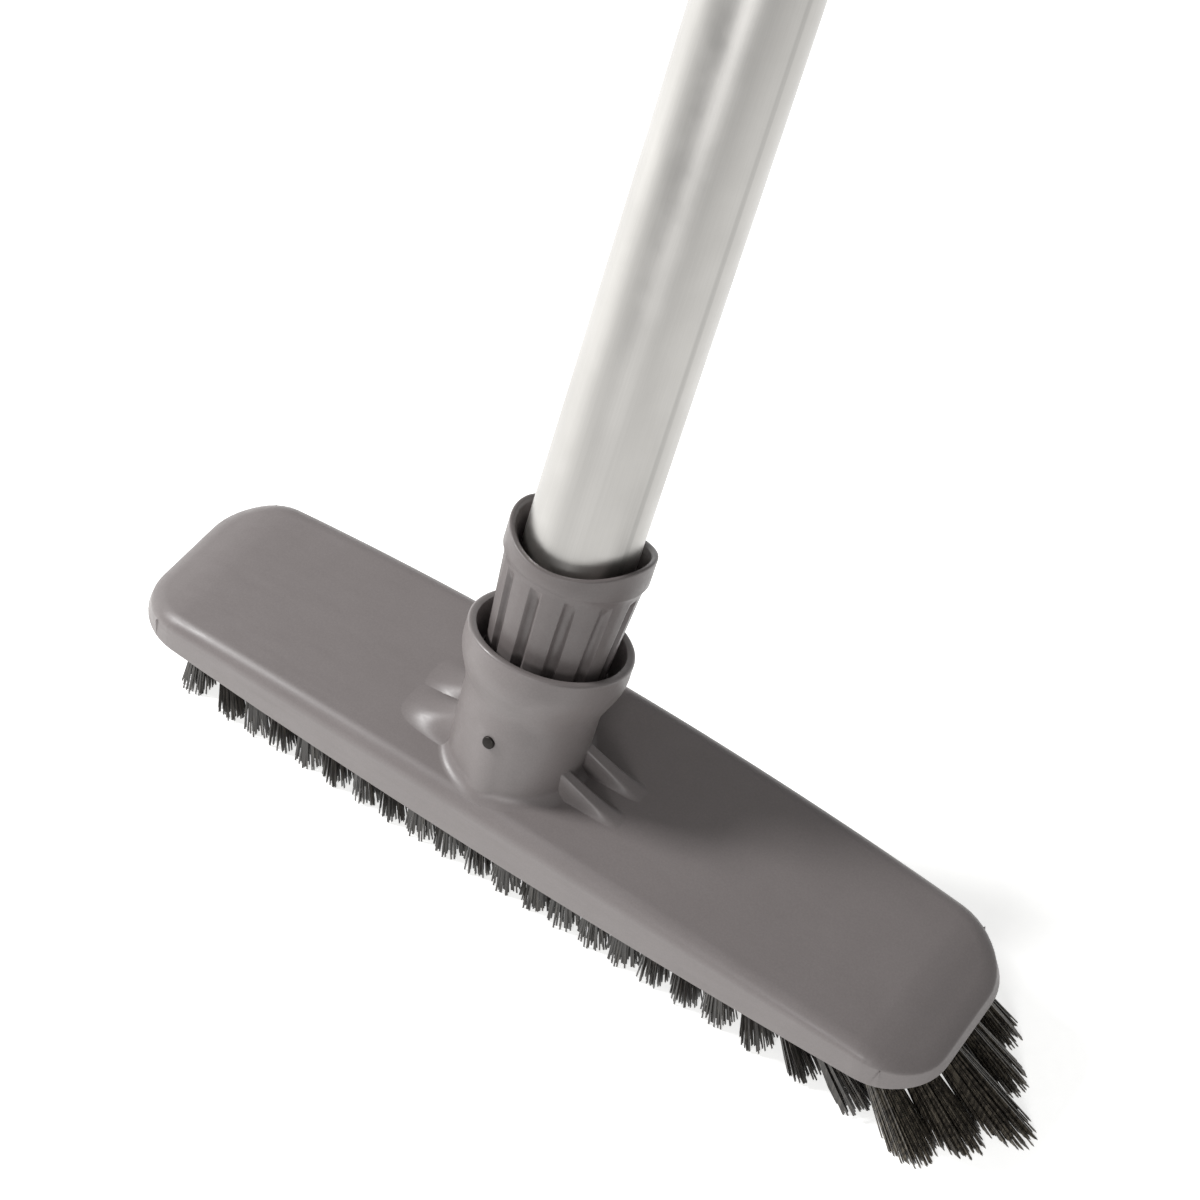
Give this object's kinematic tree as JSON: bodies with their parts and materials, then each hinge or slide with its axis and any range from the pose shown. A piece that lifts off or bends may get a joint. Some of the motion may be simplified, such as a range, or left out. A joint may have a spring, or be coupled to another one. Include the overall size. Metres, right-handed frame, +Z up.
{
  "type": "scrubbing brush on a screwed pole",
  "caption": "Bowed rectangular scrubbing brush block with a leaning threaded socket, a ribbed screw collar and a short tubular aluminium pole.",
  "frame": {"origin": "middle of the plane that the trimmed bristle tips lie in, at the centre tuft", "axes": "+X along the block towards the end with the flared tufts, +Y the side that the pole leans to, +Z up out of the block towards the pole"},
  "size_m": [0.2422, 0.2385, 0.4942],
  "materials": {
    "shell_plastic": "moulded polypropylene, satin",
    "plate_plastic": "moulded polypropylene",
    "screw_steel": "stainless, pan head",
    "bristle_fibre": "crimped polypropylene fibre",
    "anchor_wire": "flat wire",
    "bush_plastic": "glass-filled nylon",
    "pin_steel": "blackened steel",
    "washer_rubber": "moulded rubber",
    "collar_plastic": "moulded polypropylene, satin",
    "rivet_alloy": "set",
    "pole_alloy": "drawn and satin anodised",
    "cap_plastic": "moulded polypropylene"
  },
  "bodies": {
    "head": {"block_shell": "shell_plastic", "bristle_plate": "plate_plastic", "plate_screws": "screw_steel", "front_tufts": "bristle_fibre", "front_middle_tufts": "bristle_fibre", "centre_tufts": "bristle_fibre", "rear_middle_tufts": "bristle_fibre", "rear_tufts": "bristle_fibre", "left_end_tufts": "bristle_fibre", "right_end_tufts": "bristle_fibre", "tuft_anchors": "anchor_wire", "socket_bush": "bush_plastic", "bush_lock_pin": "pin_steel"},
    "washer": {"collar_washer": "washer_rubber"},
    "handle": {"thread_collar": "collar_plastic", "collar_rivet": "rivet_alloy", "pole_tube": "pole_alloy", "pole_end_cap": "cap_plastic"}
  },
  "joints": [
    {"name": "handle_lift", "type": "slide", "parent": "head", "child": "washer", "axis": [0, 0.4147, 0.91], "range_m": [0, 0.0254]},
    {"name": "handle_turn", "type": "hinge", "parent": "washer", "child": "handle", "pos_m": [-0.007, -0.006, 0.0335], "axis": [0, 0.4147, 0.91], "range_deg": [0, 1800]}
  ],
  "couplings": [
    {"joint": "handle_turn", "follows": "handle_lift", "rad_per_m": 1236.8}
  ]
}
